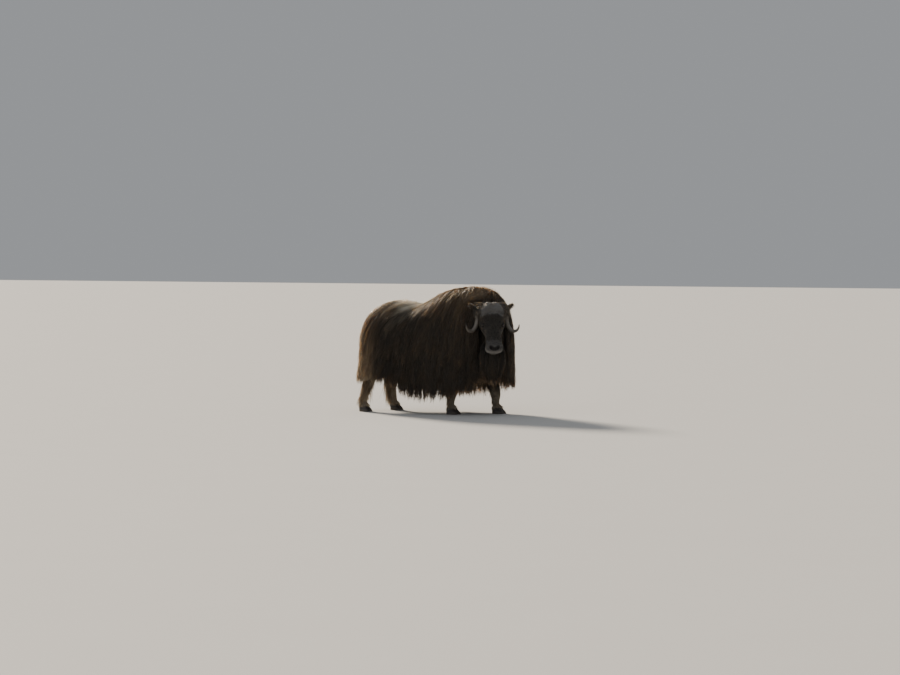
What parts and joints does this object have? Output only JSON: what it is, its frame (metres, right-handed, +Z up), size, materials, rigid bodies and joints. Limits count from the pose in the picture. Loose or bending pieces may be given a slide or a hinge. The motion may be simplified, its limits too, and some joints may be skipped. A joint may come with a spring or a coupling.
{
  "type": "muskox",
  "caption": "Life-size muskox cow in a long hanging winter coat, standing on its hooves with its head turned to its right.",
  "frame": {"origin": "on the ground, under the middle of the animal's outline seen from above", "axes": "+X forward along the body from rump to shoulders, +Y the animal's left, +Z up"},
  "size_m": [1.7982, 0.9104, 1.2219],
  "materials": {
    "guard_hair": "long coarse hair, near black-brown, golden on the hump, cream on the saddle",
    "face_hair": "short dense hair, grey on forehead and muzzle, dark round the eyes",
    "stocking_hair": "short pale hair",
    "horn": "pale grey horn, darker towards the tip, fibrous at the base",
    "hoof": "dark worn horn",
    "eye": "wet dark brown"
  },
  "bodies": {
    "root": {"head": "face_hair", "ear_left": "face_hair", "ear_right": "face_hair", "horn_left": "horn", "horn_right": "horn", "eye_left": "eye", "eye_right": "eye", "neck": "guard_hair", "shoulders": "guard_hair", "rump": "guard_hair", "tail": "guard_hair", "foreleg_left": "stocking_hair", "foreleg_right": "stocking_hair", "hindleg_left": "stocking_hair", "hindleg_right": "stocking_hair", "forehoof_left": "hoof", "forehoof_right": "hoof", "hindhoof_left": "hoof", "hindhoof_right": "hoof"}
  },
  "joints": []
}
